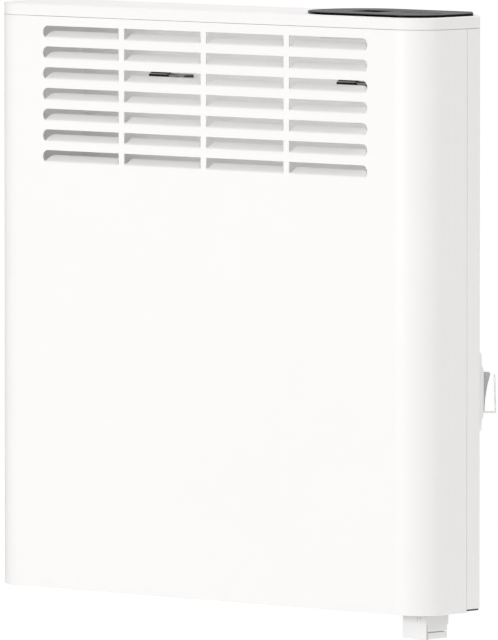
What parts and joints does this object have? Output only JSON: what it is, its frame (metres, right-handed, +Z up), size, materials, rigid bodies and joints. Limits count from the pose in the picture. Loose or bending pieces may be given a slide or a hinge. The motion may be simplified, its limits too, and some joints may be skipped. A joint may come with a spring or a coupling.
{
  "type": "wall convector heater",
  "caption": "Wall-hung electric convector heater: louvred white casing on a catch bracket, with a control panel on top, a booted rocker switch and a cable entry below.",
  "frame": {"origin": "middle of the wall bracket's four screw holes, on the wall plane", "axes": "+Z up, +Y into the wall (the heater stands on the -Y side), +X to the right seen from the front"},
  "size_m": [0.4491, 0.1, 0.4787],
  "materials": {
    "white_paint": "satin powder coat",
    "white_plastic": "fine grain",
    "dark_gloss": "polished",
    "display_glass": "smoked",
    "key_plastic": "satin",
    "grey_plastic": "satin",
    "clear_silicone": "clear",
    "dark_plastic": "fine grain",
    "black_spring_steel": "blackened",
    "pale_plastic": "satin",
    "black_rubber": "matt",
    "zinc_steel": "zinc plated",
    "bare_aluminium": "mill",
    "sheath_steel": "oxidised",
    "insulator": "unglazed",
    "brass_parts": "plain",
    "circuit_board": "solder mask",
    "brown_wire": "satin",
    "blue_wire": "satin",
    "earth_sleeve": "satin",
    "grey_cable": "satin"
  },
  "bodies": {
    "heater": {"front_cover": "white_paint", "rear_shell": "white_paint", "partition_wall": "white_paint", "top_cover": "white_plastic", "switch_bezel": "white_plastic", "cable_entry_box": "white_plastic", "cable_entry_lid": "white_plastic", "cable_gland": "white_plastic", "control_panel": "dark_gloss", "display_window": "display_glass", "switch_boot": "clear_silicone", "inlet_grille": "dark_plastic", "switch_body": "dark_plastic", "display_module": "dark_plastic", "key_switches": "dark_plastic", "heater_relay": "dark_plastic", "board_transformer": "dark_plastic", "board_capacitors": "dark_plastic", "control_tray": "pale_plastic", "terminal_block": "pale_plastic", "sensor_holder": "pale_plastic", "board_connector": "pale_plastic", "wall_spacers": "black_rubber", "wall_bracket": "zinc_steel", "element_bracket_left": "zinc_steel", "element_bracket_right": "zinc_steel", "cover_screws": "zinc_steel", "top_screws": "zinc_steel", "tray_screws": "zinc_steel", "board_screws": "zinc_steel", "catch_pins": "zinc_steel", "rocker_pin": "zinc_steel", "element_terminals": "zinc_steel", "terminal_screws": "zinc_steel", "room_sensor": "zinc_steel", "heating_element": "bare_aluminium", "heat_shield": "bare_aluminium", "thermal_cutout": "bare_aluminium", "heater_tube": "sheath_steel", "element_bushes": "insulator", "switch_terminals": "brass_parts", "cutout_terminals": "brass_parts", "earth_stud": "brass_parts", "board_standoffs": "brass_parts", "control_board": "circuit_board", "power_board": "circuit_board", "live_wire": "brown_wire", "switched_wire": "brown_wire", "element_wire_right": "brown_wire", "cutout_wire": "brown_wire", "element_wire_left": "brown_wire", "neutral_wire": "blue_wire", "earth_wire": "earth_sleeve", "control_cable": "grey_cable"},
    "rocker": {"switch_rocker": "grey_plastic"},
    "menu_button": {"menu_key": "key_plastic"},
    "minus_button": {"minus_key": "key_plastic"},
    "plus_button": {"plus_key": "key_plastic"},
    "left_catch": {"catch_left": "black_spring_steel"},
    "right_catch": {"catch_right": "black_spring_steel"}
  },
  "joints": [
    {"name": "rocker_hinge", "type": "hinge", "parent": "heater", "child": "rocker", "pos_m": [0.21262, -0.02466, -0.0697], "axis": [-0.6817, 0.7316, 0], "range_deg": [-18, 0]},
    {"name": "menu_press", "type": "slide", "parent": "heater", "child": "menu_button", "axis": [0, 0, 1], "range_m": [-0.0008, 0], "stiffness_N_per_m": 1200, "springref_m": 0.0002},
    {"name": "minus_press", "type": "slide", "parent": "heater", "child": "minus_button", "axis": [0, 0, 1], "range_m": [-0.0008, 0], "stiffness_N_per_m": 1200, "springref_m": 0.0002},
    {"name": "plus_press", "type": "slide", "parent": "heater", "child": "plus_button", "axis": [0, 0, 1], "range_m": [-0.0008, 0], "stiffness_N_per_m": 1200, "springref_m": 0.0002},
    {"name": "left_catch_hinge", "type": "hinge", "parent": "heater", "child": "left_catch", "pos_m": [-0.09625, -0.007, 0.1582], "axis": [1, 0, 0], "range_deg": [0, 14], "stiffness_Nm_per_rad": 0.3, "springref_deg": -2.86},
    {"name": "right_catch_hinge", "type": "hinge", "parent": "heater", "child": "right_catch", "pos_m": [0.09625, -0.007, 0.1582], "axis": [1, 0, 0], "range_deg": [0, 14], "stiffness_Nm_per_rad": 0.3, "springref_deg": -2.86}
  ]
}
